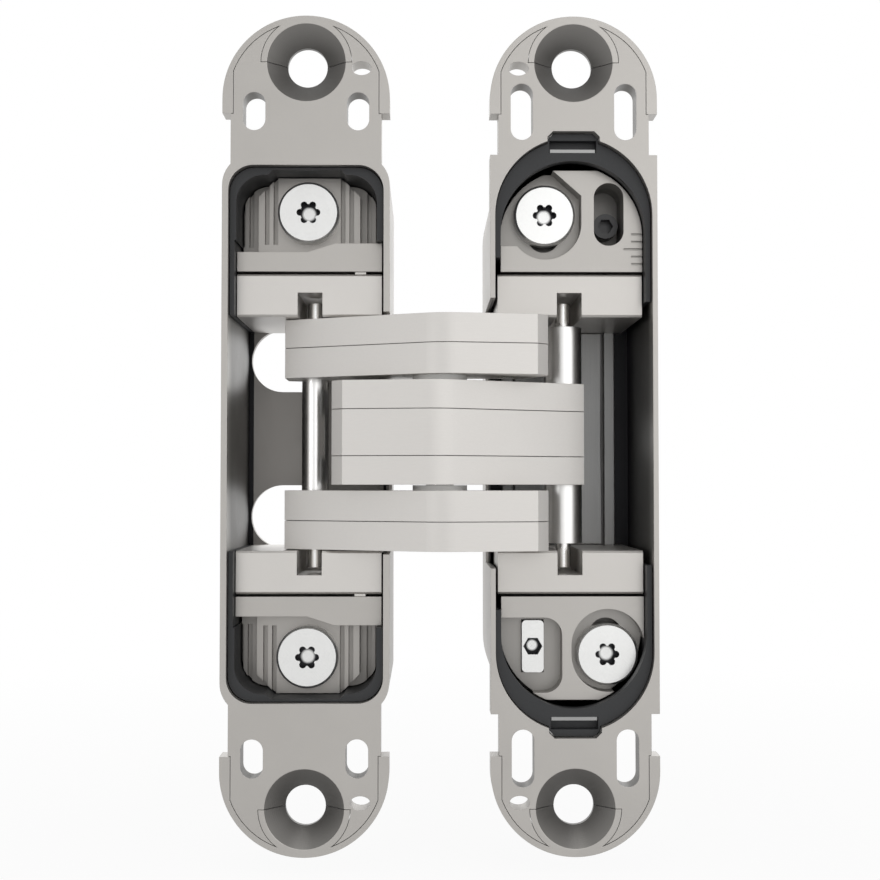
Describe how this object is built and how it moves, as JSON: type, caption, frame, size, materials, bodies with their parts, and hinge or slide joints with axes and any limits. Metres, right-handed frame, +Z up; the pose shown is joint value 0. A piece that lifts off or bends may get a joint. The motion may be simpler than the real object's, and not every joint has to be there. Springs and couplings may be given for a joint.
{
  "type": "concealed door hinge",
  "caption": "Concealed door hinge, open flat: long round-ended leaves with deep pockets, joined by crossed stacked arms on a centre pin, with slide pins and height adjustment.",
  "frame": {"origin": "centre of the frame leaf's two fixing screws, on the back of its end plates", "axes": "+Z up along the leaves, +Y into the leaves away from their faces, +X from the frame leaf to the door leaf with the hinge open flat"},
  "size_m": [0.078, 0.0387, 0.15],
  "materials": {
    "housing": "satin nickel lacquer on a zinc casting",
    "cap": "satin nickel lacquer on a thin cover",
    "liner": "black moulded insert",
    "carrier": "satin nickel lacquer on a zinc casting",
    "arm": "satin ground steel plate",
    "screw": "bright zinc",
    "pin": "ground steel",
    "washer": "white low-friction plastic",
    "bracket": "plain steel",
    "adjuster": "blackened steel"
  },
  "bodies": {
    "frame_leaf": {"frame_housing": "housing", "frame_cap_top": "cap", "frame_cap_bottom": "cap", "frame_liner_top": "liner", "frame_liner_bottom": "liner", "frame_carrier_top": "carrier", "frame_carrier_bottom": "carrier", "frame_slot_block_top": "carrier", "frame_slot_block_bottom": "carrier", "frame_screw_top": "screw", "frame_screw_bottom": "screw", "pivot_bracket": "bracket", "frame_pivot_pin": "pin"},
    "middle_arm": {"middle_arm_core": "arm", "middle_arm_upper_plate": "arm", "middle_arm_lower_plate": "arm", "door_slide_pin": "pin", "slide_roller_top": "pin", "slide_roller_bottom": "pin"},
    "outer_arms": {"outer_arm_inner_plate_top": "arm", "outer_arm_inner_plate_bottom": "arm", "outer_arm_outer_plate_top": "arm", "outer_arm_outer_plate_bottom": "arm", "centre_pin": "pin", "centre_washer_top": "washer", "centre_washer_bottom": "washer", "frame_slide_pin": "pin"},
    "door_carriage": {"door_slot_block_top": "carrier", "door_slot_block_bottom": "carrier", "door_carriage_top": "carrier", "door_carriage_bottom": "carrier", "door_screw_top": "screw", "door_screw_bottom": "screw", "door_pivot_pin_top": "pin", "door_pivot_pin_bottom": "pin", "height_adjuster": "adjuster", "depth_slider": "bracket"},
    "door_leaf": {"door_housing": "housing", "door_cap_top": "cap", "door_cap_bottom": "cap", "door_collar_top": "liner", "door_collar_bottom": "liner", "door_clip_top": "bracket", "door_clip_bottom": "bracket"}
  },
  "joints": [
    {"name": "middle_arm_pivot", "type": "hinge", "parent": "frame_leaf", "child": "middle_arm", "pos_m": [0.0115, 0.0015, 0], "axis": [0, 0, -1], "range_deg": [0, 118]},
    {"name": "centre_pivot", "type": "hinge", "parent": "middle_arm", "child": "outer_arms", "pos_m": [0.024, -0.0016, 0], "axis": [0, 0, -1], "range_deg": [-56.1, 0]},
    {"name": "door_pivot", "type": "hinge", "parent": "outer_arms", "child": "door_carriage", "pos_m": [0.0365, 0.0015, 0], "axis": [0, 0, -1], "range_deg": [0, 118.1]},
    {"name": "height_adjustment", "type": "slide", "parent": "door_carriage", "child": "door_leaf", "axis": [0, 0, 1], "range_m": [-0.0025, 0.0025]}
  ],
  "couplings": [
    {"joint": "centre_pivot", "follows": "middle_arm_pivot", "ratio": -0.47458},
    {"joint": "door_pivot", "follows": "middle_arm_pivot", "ratio": 1}
  ]
}
